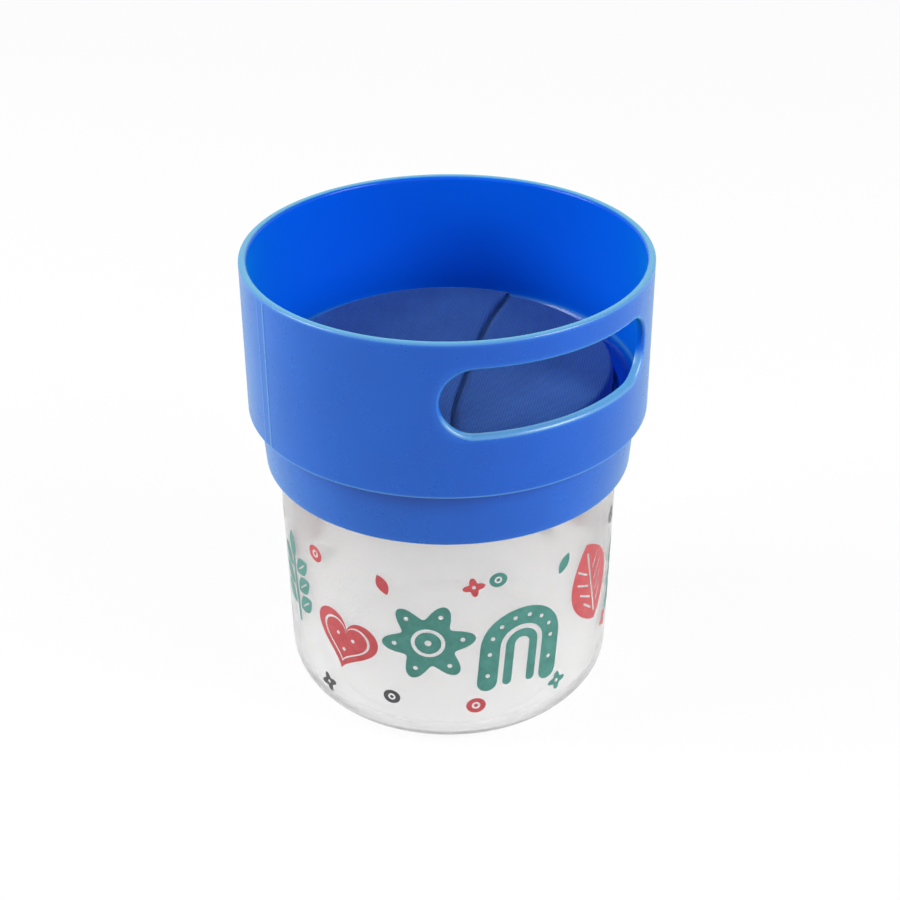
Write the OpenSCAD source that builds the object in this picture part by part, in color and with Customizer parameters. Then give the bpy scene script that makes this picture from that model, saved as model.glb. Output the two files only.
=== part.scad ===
// Toddler snack container: a frosted cup, a screw-on collar with a guard ring and
// a finger slot, and a lid of two overlapping stretch-fabric flaps on a hoop.
// The origin is the centre of the cup's foot, +Z points up, and -Y is the front.

/* [Cup] */
// Height of the cup's rim
cup_h = 85.6; // [84:0.1:85.6]
// Outer radius of the cup, its side run down to the table
cup_r = 45.5; // [44.5:0.1:45.6]
// Draft of the cup's side, in degrees
cup_draft = 1.0; // [0.5:0.1:1.1]
// Thickness of the cup's wall
cup_wall = 1.7; // [1.2:0.1:2]
// Thickness of the cup's floor
floor_t = 2.0; // [1.5:0.1:3]
// Rounding of the cup's bottom edge
base_round = 10.5; // [6:0.5:14]
// Width of the foot ring under the floor
foot_w = 1.6; // [1:0.1:3]
// Depth of the hollow inside the foot ring
foot_depth = 0.8; // [0.4:0.1:1]

/* [Collar] */
// Outer radius of the guard ring
ring_r = 54.0; // [53.5:0.1:58]
// Thickness of the guard ring's wall
ring_wall = 2.3; // [1.8:0.1:2.4]
// Height of the guard ring's top edge
ring_top = 129.5; // [128:0.5:150]
// Height of the guard ring's lower edge
ring_bottom = 87.6; // [87:0.1:88.4]
// Outer radius at the top of the skirt
skirt_r_top = 51.2; // [50.8:0.1:51.6]
// Outer radius at the bottom of the skirt
skirt_r_bottom = 50.05; // [49.6:0.05:50.6]
// Inner radius of the skirt
skirt_bore_r = 48.2; // [48.1:0.05:48.6]
// Height of the skirt's lower edge
skirt_bottom = 70.9; // [70:0.1:72.5]
// Height of the floor of the groove round the lid
ledge_top = 91.2; // [91:0.1:92]
// Thickness of the ledge that holds the lid down
ledge_t = 2.1; // [1.8:0.05:2.1]
// Radius of the hole in the ledge
ledge_bore_r = 46.0; // [45.9:0.1:46.5]
// Rounding between the groove's floor and the guard ring
ledge_fillet = 4.7; // [0.5:0.1:4.7]

/* [Finger slot] */
// Direction of the slot's middle, in degrees from the front towards the right
slot_azimuth = 32.9; // [0:0.1:90]
// Length of the slot, measured round the outside of the ring
slot_l = 65.9; // [40:0.1:90]
// Height of the slot
slot_h = 18; // [14:0.5:24]
// Height of the slot's middle
slot_z = 113.3; // [112:0.1:115]

/* [Lid] */
// Outer radius of the hoop under the fabric
hoop_r = 44.0; // [43.5:0.1:44.5]
// Thickness of the hoop's wall
hoop_wall = 1.6; // [1:0.1:2]
// Height of the hoop's top edge
hoop_top = 96.7; // [95:0.1:98]
// Outer radius of the hoop's flange and of the clamp ring
flange_r = 47.8; // [47.4:0.1:47.9]
// Thickness of the hoop's flange
flange_t = 1.6; // [1.2:0.1:1.6]
// Thickness of the fabric
fabric_t = 0.7; // [0.5:0.05:0.7]
// Turn of the flaps' seam from front-to-back, in degrees clockwise
seam_turn = 11.4; // [0:0.1:45]
// How far each flap's free edge reaches past the middle line, halfway along it
seam_reach = 5.4; // [3:0.1:10]
// How far it reaches past the middle line at the hoop
seam_reach_end = 9.5; // [6:0.1:14]

/* [Thread] */
// Number of thread starts
starts = 4; // [3:1:4]
// Rise of the collar in one full turn
lead = 24; // [22:1:24]
// Axial width of a thread rib at its root
rib_w = 2.2; // [1.6:0.1:2.2]
// How far a thread rib stands out
rib_h = 0.95; // [0.7:0.05:1.05]
// Length of a rib on the cup, in degrees
cup_rib_span = 80; // [50:5:85]
// Length of a rib in the collar, in degrees
collar_rib_span = 60; // [40:5:70]

/* [Hidden] */
$fn = 96;

blue = [0.20, 0.42, 0.85];
frosted = [0.93, 0.93, 0.94, 0.6];
navy = [0.19, 0.30, 0.58];

seat_gap = 0.1;          // play between the cup's rim, the lid and the ledge
fabric_gap = 0.25;       // room on each face of the fabric
edge_round = 0.45;       // rounding of the moulded edges
rib_bury = 0.5;          // how far a rib's root goes into its wall
rib_step = 4;            // degrees between two sections of a rib
rib_fade = 12;           // degrees over which a rib's end runs out
cup_rib_z = 77;          // middle of a cup rib at its low end
bead_h = 0.7;            // how far the bead under the lid's flange stands in from the skirt
bead_w = 0.5;            // width of the bead's crest
flap_round = 1.4;        // outer rounding of the fabric where it turns down over the hoop
over = 20;               // overshoot of the cutting shapes

taper = tan(cup_draft);
ring_bore_r = ring_r - ring_wall;
ledge_bottom = ledge_top - ledge_t;
hoop_bore_r = hoop_r - hoop_wall;
flange_z = cup_h + seat_gap;
clamp_z = flange_z + flange_t;
clamp_t = ledge_bottom - seat_gap - clamp_z;
clamp_bore_r = hoop_r + 2 * fabric_gap + fabric_t;
flap_r = hoop_r + fabric_gap + fabric_t;
lower_z = hoop_top + fabric_gap;
upper_z = lower_z + fabric_t + fabric_gap;
flap_foot = clamp_z + seat_gap;
half_seam = sqrt(pow(flap_r, 2) - pow(seam_reach_end, 2));
seam_sag = seam_reach_end - seam_reach;
seam_arc_r = (pow(half_seam, 2) + pow(seam_sag, 2)) / (2 * seam_sag);
seam_arc_x = seam_reach + seam_arc_r;

// Outer radius of the cup's side at a height
function cup_side(z) = cup_r + z * taper;

// Centre radius of a rounding b between a flat bottom and a drafted side, where r is the
// side's radius at the bottom
function rounding_r(r, b) = r - b * (1 - sin(cup_draft)) / cos(cup_draft);

// Points of an arc from angle a0 to a1 round (cx, cz)
function arc(cx, cz, r, a0, a1, n = 12) =
    [for (i = [0 : n]) let (a = a0 + (a1 - a0) * i / n) [cx + r * cos(a), cz + r * sin(a)]];

// One section of a thread rib: root inside the wall, narrower crest outside it.
// dir is 1 for a rib that stands out from a cup and -1 for one that stands inwards.
function rib_section(wall_r, dir, h, z, a) =
    let (root = wall_r - dir * rib_bury, crest = wall_r + dir * h)
    [for (p = [[root, -rib_w / 2], [crest, -rib_w / 4], [crest, rib_w / 4], [root, rib_w / 2]])
        [p[0] * cos(a), p[0] * sin(a), z + p[1]]];

// How far a rib stands out at an angle along it, running out at both ends
function rib_rise(a, span) = rib_h * min(1, (a + 1) / rib_fade, (span - a + 1) / rib_fade);

// One helical rib, from its low end at angle 0
module rib(wall_r, taper_in, dir, z, span) {
    n = round(span / rib_step);
    rings = [for (i = [0 : n])
        let (a = span * i / n, zi = z + lead * a / 360)
        rib_section(wall_r + zi * taper_in, dir, rib_rise(a, span), zi, a)];
    points = [for (ring = rings, p = ring) p];
    sides = [for (i = [0 : n - 1], k = [0 : 3])
        let (j = (k + 1) % 4)
        [4 * i + k, 4 * i + j, 4 * i + 4 + j, 4 * i + 4 + k]];
    caps = [[3, 2, 1, 0], [4 * n, 4 * n + 1, 4 * n + 2, 4 * n + 3]];
    faces = concat(sides, caps);
    polyhedron(points, dir > 0 ? faces : [for (f = faces) [for (i = [3 : -1 : 0]) f[i]]]);
}

// The ribs of one wall, one for each start
module ribs(wall_r, taper_in, dir, z, span) {
    for (i = [0 : starts - 1])
        rotate([0, 0, 360 * i / starts])
            rib(wall_r, taper_in, dir, z, span);
}

// Half section of the cup, from the foot up its outside and down its inside
module cup_section() {
    foot_r = rounding_r(cup_r, base_round);
    inner_round = base_round - cup_wall;
    inner_z = foot_depth + floor_t;
    inner_r = rounding_r(cup_side(inner_z) - cup_wall, inner_round);
    top_r = cup_side(cup_h);
    polygon(concat(
        [[0, foot_depth], [foot_r - foot_w, foot_depth], [foot_r - foot_w, 0]],
        arc(foot_r, base_round, base_round, -90, -cup_draft),
        arc(top_r - edge_round, cup_h - edge_round, edge_round, 0, 90, 4),
        arc(top_r - cup_wall + edge_round, cup_h - edge_round, edge_round, 90, 180, 4),
        arc(inner_r, inner_z + inner_round, inner_round, -cup_draft, -90),
        [[0, inner_z]]));
}

module cup() {
    color(frosted) {
        rotate_extrude() cup_section();
        ribs(cup_r, taper, 1, cup_rib_z, cup_rib_span);
    }
}

// Half section of the collar: ledge, bead that holds the lid's flange, skirt, step and
// guard ring
module collar_section() {
    bead_r = skirt_bore_r - bead_h;
    polygon(concat(
        [[skirt_bore_r, ledge_bottom], [skirt_bore_r, cup_h], [bead_r, cup_h],
         [bead_r, cup_h - bead_w], [skirt_bore_r, cup_h - bead_w - bead_h],
         [skirt_bore_r, skirt_bottom + edge_round], [skirt_bore_r + edge_round, skirt_bottom]],
        arc(skirt_r_bottom - edge_round, skirt_bottom + edge_round, edge_round, -90, 0, 4),
        [[skirt_r_top, ring_bottom]],
        arc(ring_r - edge_round, ring_bottom + edge_round, edge_round, -90, 0, 4),
        arc(ring_r - edge_round, ring_top - edge_round, edge_round, 0, 90, 4),
        arc(ring_bore_r + edge_round, ring_top - edge_round, edge_round, 90, 180, 4),
        arc(ring_bore_r - ledge_fillet, ledge_top + ledge_fillet, ledge_fillet, 0, -90, 8),
        arc(ledge_bore_r + edge_round, ledge_top - edge_round, edge_round, 90, 180, 4),
        [[ledge_bore_r, ledge_bottom]]));
}

// The slot's cutter: two round ends on radial axes, and the stretch between them
module slot_cut() {
    end_a = (slot_l - slot_h) / 2 / ring_r * 180 / PI;
    rotate([0, 0, slot_azimuth - 90]) {
        for (a = [-end_a, end_a])
            rotate([0, 0, a])
                translate([ring_r - over, 0, slot_z])
                    rotate([0, 90, 0])
                        cylinder(r = slot_h / 2, h = 2 * over);
        rotate([0, 0, -end_a])
            rotate_extrude(angle = 2 * end_a)
                translate([ring_r - over, slot_z - slot_h / 2])
                    square([2 * over, slot_h]);
    }
}

// The collar's ribs hook under the cup's, a root's half width and a crest's half width
// below them
module collar() {
    start_a = (cup_rib_span - collar_rib_span) / 2;
    start_z = cup_rib_z + lead * start_a / 360 - rib_w / 2 - rib_w / 4;
    color(blue) {
        difference() {
            rotate_extrude() collar_section();
            slot_cut();
        }
        rotate([0, 0, start_a])
            ribs(skirt_bore_r, 0, -1, start_z, collar_rib_span);
    }
}

module lid_hoop() {
    round_r = hoop_wall / 2;
    color(blue)
        rotate_extrude()
            polygon(concat(
                [[hoop_bore_r, flange_z], [flange_r, flange_z], [flange_r, clamp_z], [hoop_r, clamp_z]],
                arc(hoop_r - round_r, hoop_top - round_r, round_r, 0, 180)));
}

module clamp_ring() {
    color(blue)
        translate([0, 0, clamp_z])
            rotate_extrude()
                translate([clamp_bore_r, 0])
                    square([flange_r - clamp_bore_r, clamp_t]);
}

// The whole round of fabric at one level: a flat top, a rounded edge and a rim turned
// down over the hoop
module fabric_round(level) {
    top = level + fabric_t;
    inner = flap_round - fabric_t;
    rotate_extrude()
        polygon(concat(
            [[0, level]],
            arc(flap_r - flap_round, top - flap_round, inner, 90, 0, 6),
            [[flap_r - fabric_t, flap_foot], [flap_r, flap_foot]],
            arc(flap_r - flap_round, top - flap_round, flap_round, 0, 90, 6),
            [[0, top]]));
}

// A large disc whose edge is a flap's free edge: the left flap's where side is 1, and
// the right flap's where side is -1
module seam_disc(side, shrink = 0) {
    translate([side * seam_arc_x, 0])
        circle(r = seam_arc_r - shrink, $fn = 360);
}

module upper_flap() {
    color(navy)
        rotate([0, 0, -seam_turn])
            difference() {
                fabric_round(upper_z);
                linear_extrude(ring_top) seam_disc(1);
            }
}

// Beside the upper flap it has a rim of its own; under it, it is a flat sheet that ends
// at the hoop's top
module lower_flap() {
    color(navy)
        rotate([0, 0, -seam_turn]) {
            intersection() {
                fabric_round(lower_z);
                linear_extrude(ring_top) seam_disc(1, fabric_gap);
            }
            difference() {
                translate([0, 0, lower_z])
                    cylinder(r = hoop_r - fabric_gap, h = fabric_t);
                linear_extrude(ring_top) seam_disc(-1);
            }
        }
}

cup();
collar();
lid_hoop();
clamp_ring();
upper_flap();
lower_flap();
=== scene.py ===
# Toddler snack container: a frosted cup with a printed side, a blue screw-on collar with
# a guard ring and a finger slot, and a lid of two overlapping stretch-fabric flaps.
# Metres throughout. +Z is up, -Y is the front, and an azimuth runs from the front
# towards the right.
import math

import bmesh
import bpy
import numpy as np
from mathutils import Matrix, Vector
from mathutils.geometry import delaunay_2d_cdt


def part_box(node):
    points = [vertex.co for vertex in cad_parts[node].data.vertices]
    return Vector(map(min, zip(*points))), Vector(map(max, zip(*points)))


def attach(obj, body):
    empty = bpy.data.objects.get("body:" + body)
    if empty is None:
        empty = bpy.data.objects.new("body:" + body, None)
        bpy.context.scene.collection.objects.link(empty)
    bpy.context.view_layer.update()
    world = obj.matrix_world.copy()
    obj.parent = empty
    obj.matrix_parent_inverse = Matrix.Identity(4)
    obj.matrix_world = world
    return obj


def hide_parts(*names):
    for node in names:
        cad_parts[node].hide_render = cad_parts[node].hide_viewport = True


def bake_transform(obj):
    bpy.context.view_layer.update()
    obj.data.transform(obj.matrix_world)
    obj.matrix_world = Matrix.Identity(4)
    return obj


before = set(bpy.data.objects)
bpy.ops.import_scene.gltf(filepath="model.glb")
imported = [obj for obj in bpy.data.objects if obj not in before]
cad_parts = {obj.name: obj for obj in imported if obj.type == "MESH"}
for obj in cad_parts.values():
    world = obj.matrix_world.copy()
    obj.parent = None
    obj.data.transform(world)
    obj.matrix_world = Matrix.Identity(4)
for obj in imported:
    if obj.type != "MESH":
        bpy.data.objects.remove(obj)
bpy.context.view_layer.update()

MM = 0.001

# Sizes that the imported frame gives
CUP_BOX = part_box("cup")
COLLAR_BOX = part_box("collar")
UPPER_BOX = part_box("upper_flap")
LOWER_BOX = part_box("lower_flap")

CUP_RIM_Z = CUP_BOX[1].z
RING_R = COLLAR_BOX[1].x
RING_TOP = COLLAR_BOX[1].z
SKIRT_BOTTOM = COLLAR_BOX[0].z
UPPER_TOP = UPPER_BOX[1].z
LOWER_TOP = LOWER_BOX[1].z
FLAP_FOOT = UPPER_BOX[0].z

# Collar
RING_WALL = 2.3 * MM
RING_BORE_R = RING_R - RING_WALL
RING_BOTTOM = 87.2 * MM
STEP_ROUND = 0.22 * MM  # rounding of the guard ring's lower edge
STEP_FILLET = 0.3 * MM  # fillet between the skirt and that edge
RIM_ROUND_IN = 1.0 * MM  # rounding of the top edge towards the inside
EDGE_ROUND = 0.45 * MM  # rounding of every other edge, and of the cup's rim
SKIRT_R_TOP = 51.2 * MM
SKIRT_R_BOTTOM = 50.05 * MM
SKIRT_BORE_R = 48.2 * MM
LEDGE_TOP = 91.2 * MM
LEDGE_T = 2.1 * MM
LEDGE_BORE_R = 46.0 * MM
LEDGE_FILLET = 4.7 * MM
BEAD_H = 0.7 * MM  # bead that keeps the lid in the collar: how far it stands out
BEAD_W = 0.5 * MM  # and how high its flat is

# Finger slot
SLOT_AZIMUTH = math.radians(32.9)
SLOT_L = 65.9 * MM
SLOT_H = 18 * MM
SLOT_Z = 113.3 * MM
SLOT_EDGE_OUT = 1.0 * MM  # rounding of the slot's edge on the outer wall
SLOT_EDGE_IN = 0.3 * MM  # and on the inner wall
SLOT_STEPS_OUT = 8
SLOT_STEPS_IN = 4

# Mould parting lines on both sides of the guard ring: turn from the side, and strength
PARTING_AZIMUTH = SLOT_AZIMUTH - math.pi / 2
PARTING_LINES = ((0, 1), (math.radians(-3.2), 0.35))
PARTING_W = 0.6 * MM
PARTING_H = 0.07 * MM
PARTING_FLANK = 0.1 * MM  # width over which a line rises on each side

# Painted light on the collar's edges, from 0 on its walls to 1 on the palest edge: a glow and a
# pale tint for light coming through the thin plastic and falling on edges that face up, and
# painted highlights
EDGE_GLOW = 0.3  # painted glow of the walls right beside an edge
SKIRT_PAINTED_LIGHT = 0.1  # painted light on the skirt's lower edge
STEP_PAINTED_HIGHLIGHT = 0.65  # painted highlight on the guard ring's lower edge
# painted highlight on the mould parting lines
PARTING_PAINTED_HIGHLIGHT = 0.6
FILLET_PAINTED_HIGHLIGHT = 0.62  # painted highlight at the foot of the guard ring's inner wall

# Mesh density of the collar
COLUMN_STEP = math.radians(1.5)
PATCH_COLUMNS = 56
PATCH_ROW = 1.5 * MM
PATCH_ROWS = 17
PATCH_RINGS = 8
PATCH_CROWDING = 1.8  # how much the rings crowd round the slot

# Thread
STARTS = 4
LEAD = 24 * MM
RIB_W = 2.2 * MM
RIB_H = 0.95 * MM
RIB_BURY = 0.5 * MM
RIB_STEP = math.radians(3)
RIB_FADE = math.radians(12)
RIB_START = math.radians(1)  # how far into its rise a rib is at its very end
CUP_RIB_SPAN = math.radians(80)
COLLAR_RIB_SPAN = math.radians(60)
CUP_RIB_Z = 77 * MM

# Cup
CUP_R = 45.5 * MM
CUP_DRAFT = math.radians(1)
CUP_WALL = 1.7 * MM
FLOOR_T = 2.0 * MM
BASE_ROUND = 10.5 * MM
FOOT_W = 1.6 * MM
FOOT_DEPTH = 0.8 * MM
FOOT_FILLET = 0.3 * MM
FOOT_ROUND = 0.2 * MM
CUP_COLUMNS = 240
# Heights of the rows on the side, on the threaded neck and, downwards, in the bore
SIDE_ROWS = [z * MM for z in range(14, 74, 6)]
NECK_ROWS = [z * MM / 10 for z in range(746, 850, 4)]
BORE_ROWS = [z * MM for z in range(80, 12, -8)]

# Fabric lid: each flap is a D that reaches past the middle line to an arc-shaped free edge
FABRIC_T = 0.5 * MM
FLAP_R = 44.52 * MM
FLAP_ROUND = 1.4 * MM
FLAP_TOP_R = FLAP_R - FLAP_ROUND  # where the flat top ends and the shoulder starts
HOOP_BORE_R = 42.4 * MM
SEAM_TURN = math.radians(11.3)
SEAM_REACH = 5.65 * MM  # how far a free edge reaches past the middle line, halfway along it
SEAM_FLARE = 4.6 * MM  # and how much further at SEAM_END from its middle
SEAM_END = 44 * MM
ROLL_W = 2.2 * MM  # width and depth of the upper flap's turned-down free edge
ROLL_H = 1.0 * MM
GROOVE_W = 1.4 * MM  # half width and depth of the groove beside it in the lower flap
GROOVE_H = 1.45 * MM
SETTLE_H = 0.25 * MM  # how far the upper flap settles beyond the lower one's edge
SETTLE_W = 6 * MM
RIDGE_H = 0.12 * MM  # rise of the lower flap beside its groove
RIDGE_OFF = 2.8 * GROOVE_W
RELIEF_END = 0.86 * FLAP_TOP_R  # where a flap's relief starts to fade towards its rim
FLAP_SECTIONS = 200
FLAP_STEPS = 40
FLAP_CROWDING = 1.6  # how much the steps crowd at the free edge
NOSE_STEPS = 8
NOSE_FADE = 4 * MM  # the free edge gets thinner where a section is shorter than this
RIM_FADE = (0.25 * MM, 1.6 * MM)  # over which the turned-down rim starts beside the seam
RIM_ROWS = (95.5 * MM, 92.5 * MM, 89.5 * MM)  # heights of its rows
SAG = 0.45 * MM

# Looks: a pair of colours is the two ends of a mottling
BLUE = ((0.0012, 0.092, 0.61), (0.0018, 0.105, 0.67))
# painted light: the brighter blue of the guard ring's inner walls, for light coming through the
# plastic
BLUE_PAINTED_INSIDE_LIGHT = (0.0008, 0.101, 0.79)
# painted glow right beside the collar's edges
BLUE_PAINTED_GLOW = (0.001, 0.135, 0.74)
# painted pale light and highlights on the collar's edges
BLUE_PAINTED_EDGE_LIGHT = (0.13, 0.37, 0.66)
BLUE_SHEEN = (0.02, 0.8, 0.8, 1)
FROST = ((0.975, 0.965, 0.96), (0.985, 0.977, 0.972))
# painted shade of the cup towards its rim, under the collar
FROST_PAINTED_RIM_SHADE = (0.84, 0.83, 0.825)
# painted light in the cup's base
FROST_PAINTED_BASE_LIGHT = (1, 1, 1)
NAVY = ((0.032, 0.122, 0.43), (0.044, 0.155, 0.51))
# painted shade in the hollows of the knit
NAVY_PAINTED_HOLLOW_SHADE = (0.004, 0.024, 0.125)
NAVY_SHEEN = (0.30, 0.48, 1.0, 1)
INKS = {
    "teal": ((0.080, 0.310, 0.262), (0.052, 0.235, 0.197)),
    "coral": ((0.66, 0.097, 0.108), (0.57, 0.063, 0.072)),
    "grey": ((0.085, 0.083, 0.085), (0.050, 0.048, 0.050)),
}
NOISE_SPAN = (0.3, 0.7)  # values between which a noise mostly lies
GRAIN_H = 0.01 * MM
KNIT_H = 0.09 * MM
KNIT_RIB = 0.62 * MM  # pitch of the ribs
KNIT_STITCH = 0.70 * MM  # and of the stitches across them
WAVE_PITCH = 0.314  # distance between the bands of a wave texture at scale 1

# Camera, found from the outlines of the rim, the step and the cup
SENSOR = 36  # in millimetres, as the lens
LENS = 66.479
SHIFT_X = 0.00215
CAMERA_PLACE = (0, -0.39742, 0.30454)
CAMERA_TILT = math.radians(59.364)
CAMERA_ROLL = -0.00604

# Studio
WHITE = (1, 1, 1, 1)
LIGHT_LEVEL = 0.22  # of the even light from all round
HORIZON_TOP = 0.35  # sine of the elevation up to which reflections see white
HORIZON_FADE = 0.25  # and over which they fade to the dim level above it
DIM_LEVEL = 0.12
FLOOR_HALF = 3  # half the length of its side
FLOOR_GREY = (0.5, 0.5, 0.5)  # of the light that the floor throws back
FLOOR_GLOW = 0.93  # share of the floor that glows white where it is seen
SEEN_RAYS = ("Is Camera Ray", "Is Glossy Ray", "Is Transmission Ray")
# Name, azimuth and elevation in degrees, distance, width, height, power
SOFTBOXES = (
    ("left_softbox", -84, 31, 1.05, 0.5, 0.6, 9.3),
    ("right_softbox", 62, 31, 1.05, 0.5, 0.6, 8.9),
    ("front_softbox", -10, 55, 1.2, 0.8, 0.5, 1.0),
)

# Print
INK_LIFT = 0.04 * MM
INK_GRID = 1.7 * MM  # distance of the points inside a motif, which let it bend
DOT_R = 0.6  # in millimetres, as all the print's outlines are
CAP_STEPS = 6  # steps round each end of a stroke


# ---- mesh building

def on_round(radius, azimuth, z):
    """The point at a radius, azimuth and height."""
    return (radius * math.sin(azimuth), -radius * math.cos(azimuth), z)


def smooth(value, low, high):
    """0 below low, 1 above high and a smooth step between them."""
    t = min(1, max(0, (value - low) / (high - low)))
    return t * t * (3 - 2 * t)


def arc(cr, cz, radius, start, end, steps):
    """Profile points (r, z) on an arc, its angles in degrees from outwards to up."""
    angles = [math.radians(start + (end - start) * i / steps) for i in range(steps + 1)]
    return [(cr + radius * math.cos(a), cz + radius * math.sin(a)) for a in angles]


def tube_faces(count, n, base=0):
    """Faces from each of count + 1 closed loops of n points to the next."""
    faces = []
    for low in range(base, base + count * n, n):
        faces += [(low + k, low + (k + 1) % n, low + n + (k + 1) % n, low + n + k)
                  for k in range(n)]
    return faces


def end_faces(count, n, base=0):
    """The two faces that close the ends of such a tube."""
    last = base + count * n
    return [tuple(range(base, base + n)), tuple(reversed(range(last, last + n)))]


def add_piece(name, points, faces, material, closed=True):
    """A smooth-shaded mesh object of these points and faces."""
    mesh = bpy.data.meshes.new(name)
    mesh.from_pydata(points, [], faces)
    mesh.materials.append(material)
    if closed:
        bm = bmesh.new()
        bm.from_mesh(mesh)
        bmesh.ops.recalc_face_normals(bm, faces=bm.faces)
        bm.to_mesh(mesh)
        bm.free()
    mesh.polygons.foreach_set("use_smooth", [True] * len(mesh.polygons))
    obj = bpy.data.objects.new(name, mesh)
    bpy.context.scene.collection.objects.link(obj)
    return obj


def point_attribute(obj, name, values):
    """Stores one number per vertex for the material to read."""
    attribute = obj.data.attributes.new(name, "FLOAT", "POINT")
    attribute.data.foreach_set("value", np.array(values, np.float32))


# ---- node materials

def new_material(name):
    """A material, its nodes, their links and its Principled shader."""
    material = bpy.data.materials.new(name)
    material.use_nodes = True
    nodes = material.node_tree.nodes
    return material, nodes, material.node_tree.links, nodes["Principled BSDF"]


def set_inputs(node, **values):
    """Sets a node's inputs, each named with _ for a space."""
    for name, value in values.items():
        node.inputs[name.replace("_", " ")].default_value = value


def maths(nodes, links, operation, *values):
    """The result of a math node on these numbers and outputs."""
    node = nodes.new("ShaderNodeMath")
    node.operation = operation
    for value, socket in zip(values, node.inputs):
        if isinstance(value, bpy.types.NodeSocket):
            links.new(value, socket)
        else:
            socket.default_value = value
    return node.outputs[0]


def attribute(nodes, name):
    """A number that the mesh stores per vertex."""
    node = nodes.new("ShaderNodeAttribute")
    node.attribute_name = name
    return node.outputs["Fac"]


def place_z(nodes, links, space):
    """The height in one of the texture coordinates."""
    place = nodes.new("ShaderNodeTexCoord")
    split = nodes.new("ShaderNodeSeparateXYZ")
    links.new(place.outputs[space], split.inputs[0])
    return split.outputs["Z"]


def object_noise(nodes, links, scale, detail, roughness=0.5):
    """Noise in the object's own space, its scale in features per metre."""
    place = nodes.new("ShaderNodeTexCoord")
    noise = nodes.new("ShaderNodeTexNoise")
    set_inputs(noise, Scale=scale, Detail=detail, Roughness=roughness)
    links.new(place.outputs["Object"], noise.inputs["Vector"])
    return noise.outputs["Fac"]


def map_range(nodes, links, value, low, high, to_low, to_high):
    """The value mapped from one range to another, and kept within it."""
    ranged = nodes.new("ShaderNodeMapRange")
    set_inputs(ranged, From_Min=low, From_Max=high, To_Min=to_low, To_Max=to_high)
    links.new(value, ranged.inputs["Value"])
    return ranged.outputs["Result"]


def mix_colour(nodes, links, share, a, b):
    """Colour a at share 0 and colour b at share 1."""
    mix = nodes.new("ShaderNodeMix")
    mix.data_type = "RGBA"
    links.new(share, mix.inputs["Factor"])
    for socket, colour in (("A", a), ("B", b)):
        target = next(s for s in mix.inputs if s.name == socket and s.type == "RGBA")
        if isinstance(colour, bpy.types.NodeSocket):
            links.new(colour, target)
        else:
            target.default_value = (*colour, 1)
    return next(s for s in mix.outputs if s.type == "RGBA")


def grade(nodes, links, value, low, high, a, b):
    """Colour a where the value is low, and colour b where it is high."""
    return mix_colour(nodes, links, map_range(nodes, links, value, low, high, 0, 1), a, b)


def bump(nodes, links, height, distance, strength):
    """A normal that follows the height, for a relief of that depth in metres."""
    node = nodes.new("ShaderNodeBump")
    set_inputs(node, Distance=distance, Strength=strength)
    links.new(height, node.inputs["Height"])
    return node.outputs["Normal"]


def blue_plastic():
    """Satin moulded polypropylene: a little mottling, fine texture and light handling wear,
    smoother inside the guard ring. Painted light in its colour makes it a deeper, brighter blue
    inside the guard ring, brighter right beside an edge and pale on it, for light that comes
    through the plastic and falls on its edges."""
    material, nodes, links, shader = new_material("blue_plastic")
    inside, edge = attribute(nodes, "inside"), attribute(nodes, "edge")
    colour = grade(nodes, links, object_noise(nodes, links, 60, detail=2), *NOISE_SPAN, *BLUE)
    # painted light: a brighter blue on the inner walls, a glow beside the edges and pale light
    # and highlights on them
    colour = mix_colour(nodes, links, inside, colour, BLUE_PAINTED_INSIDE_LIGHT)
    colour = grade(nodes, links, edge, 0, EDGE_GLOW, colour, BLUE_PAINTED_GLOW)
    colour = grade(nodes, links, edge, EDGE_GLOW, 1, colour, BLUE_PAINTED_EDGE_LIGHT)
    links.new(colour, shader.inputs["Base Color"])
    on_wall = map_range(nodes, links, inside, 0, 1, 0.5, 0.2)
    links.new(maths(nodes, links, "MULTIPLY_ADD", edge, 0.4, on_wall),
              shader.inputs["Specular IOR Level"])
    wear = map_range(nodes, links, object_noise(nodes, links, 90, detail=4, roughness=0.6),
                     *NOISE_SPAN, 0.24, 0.30)
    polish = map_range(nodes, links, inside, 0, 1, 1, 0.65)
    links.new(maths(nodes, links, "MULTIPLY", wear, polish), shader.inputs["Roughness"])
    grain = object_noise(nodes, links, 2600, detail=2)
    links.new(bump(nodes, links, grain, GRAIN_H, 0.12), shader.inputs["Normal"])
    set_inputs(shader, IOR=1.45, Sheen_Weight=0.4, Sheen_Roughness=0.52,
               Sheen_Tint=BLUE_SHEEN)
    return material


def frosted_plastic():
    """Frosted translucent polypropylene, with faint clouds and a fine moulded grain, clearer in
    the base by painted light and a little duller towards the rim by painted shade from the
    collar."""
    material, nodes, links, shader = new_material("frosted_plastic")
    height = place_z(nodes, links, "Object")
    colour = grade(nodes, links, object_noise(nodes, links, 40, detail=3), *NOISE_SPAN, *FROST)
    # painted shade: darker towards the rim, under the collar
    colour = grade(nodes, links, height, 0.25 * CUP_RIM_Z, 0.8 * CUP_RIM_Z, colour, FROST_PAINTED_RIM_SHADE)
    # painted light: whiter in the base
    base = map_range(nodes, links, height, 0.6 * BASE_ROUND, 2 * BASE_ROUND, 1, 0)
    colour = mix_colour(nodes, links, base, colour, FROST_PAINTED_BASE_LIGHT)
    links.new(colour, shader.inputs["Base Color"])
    grain = object_noise(nodes, links, 1800, detail=3)
    links.new(map_range(nodes, links, grain, *NOISE_SPAN, 0.15, 0.21),
              shader.inputs["Roughness"])
    links.new(bump(nodes, links, grain, GRAIN_H, 0.3), shader.inputs["Normal"])
    set_inputs(shader, IOR=1.25, Transmission_Weight=0.84)
    return material


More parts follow.
